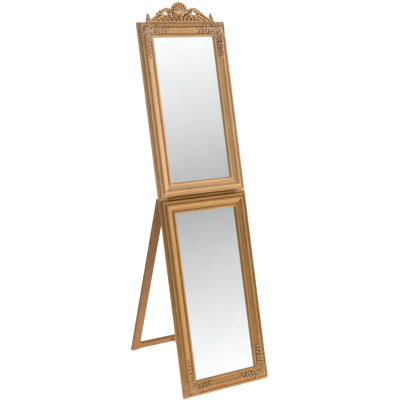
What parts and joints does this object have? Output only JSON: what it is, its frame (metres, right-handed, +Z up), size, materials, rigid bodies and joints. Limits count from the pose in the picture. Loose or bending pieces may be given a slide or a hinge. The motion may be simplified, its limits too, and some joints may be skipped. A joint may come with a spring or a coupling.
{
  "type": "cheval floor mirror",
  "caption": "Folding cheval floor mirror: gilt-framed mirror panels hinged one above the other lean back on a hinged easel with a spread chain, under a scrolled shell crest.",
  "frame": {"origin": "on the floor, under the middle of the standing mirror's overall box", "axes": "+Z up, -Y the way the mirrors face, +X to the right of someone who looks at them"},
  "size_m": [0.45, 0.623, 1.7421],
  "materials": {
    "gilt_moulding": "gold paint over a grained wood moulding, satin",
    "gilt_easel": "thin gold-brown stain and paint over plain softwood, satin",
    "mirror_glass": "silvered float glass",
    "hardboard": "brown pressed board, matt",
    "cast_ornament": "cast resin leafwork, antiqued gold paint",
    "cast_crest": "cast resin crest, antiqued gold paint with dark recesses",
    "zinc_steel": "zinc-plated pressed steel",
    "beech_dowel": "bare beech",
    "brassed_screws": "brass-plated steel, cross-head",
    "brassed_hinge": "brass-plated pressed steel",
    "chain_brass": "brassed wire, welded links"
  },
  "bodies": {
    "lower_panel": {"lower_left_stile": "gilt_moulding", "lower_right_stile": "gilt_moulding", "lower_top_rail": "gilt_moulding", "lower_bottom_rail": "gilt_moulding", "lower_mirror_glass": "mirror_glass", "lower_backing_board": "hardboard", "lower_corner_ornament_left": "cast_ornament", "lower_corner_ornament_right": "cast_ornament", "lower_retaining_tabs": "zinc_steel", "lower_mitre_nails": "zinc_steel", "fold_hinge_lower_leaf": "brassed_hinge", "fold_hinge_lower_screws": "brassed_screws", "fold_hinge_pin": "brassed_hinge", "frame_screw_eye": "chain_brass", "easel_hinge_frame_screws": "brassed_screws", "easel_hinge_frame_leaf_left": "brassed_hinge", "easel_hinge_frame_leaf_right": "brassed_hinge", "easel_hinge_pin_left": "brassed_hinge", "easel_hinge_pin_right": "brassed_hinge", "spread_chain": "chain_brass"},
    "upper_panel": {"upper_left_stile": "gilt_moulding", "upper_right_stile": "gilt_moulding", "upper_top_rail": "gilt_moulding", "upper_bottom_rail": "gilt_moulding", "upper_mirror_glass": "mirror_glass", "upper_backing_board": "hardboard", "upper_corner_ornament_left": "cast_ornament", "upper_corner_ornament_right": "cast_ornament", "upper_retaining_tabs": "zinc_steel", "upper_mitre_nails": "zinc_steel", "crest": "cast_crest", "crest_plates": "zinc_steel", "crest_screws": "zinc_steel", "fold_hinge_upper_leaf": "brassed_hinge", "fold_hinge_upper_screws": "brassed_screws"},
    "easel": {"easel_left_leg": "gilt_easel", "easel_right_leg": "gilt_easel", "easel_top_rail": "gilt_easel", "easel_bottom_rail": "gilt_easel", "easel_dowels": "beech_dowel", "easel_hinge_easel_screws": "brassed_screws", "easel_screw_eye": "chain_brass", "easel_hinge_easel_leaf_left": "brassed_hinge", "easel_hinge_easel_leaf_right": "brassed_hinge"}
  },
  "joints": [
    {"name": "upper_fold", "type": "hinge", "parent": "lower_panel", "child": "upper_panel", "pos_m": [0, -0.07688, 0.87533], "axis": [1, 0, 0], "range_deg": [0, 178]},
    {"name": "easel_swing", "type": "hinge", "parent": "lower_panel", "child": "easel", "pos_m": [0, -0.04651, 0.85823], "axis": [-1, 0, 0], "range_deg": [0, 36.5], "deforming": ["spread_chain"]}
  ]
}
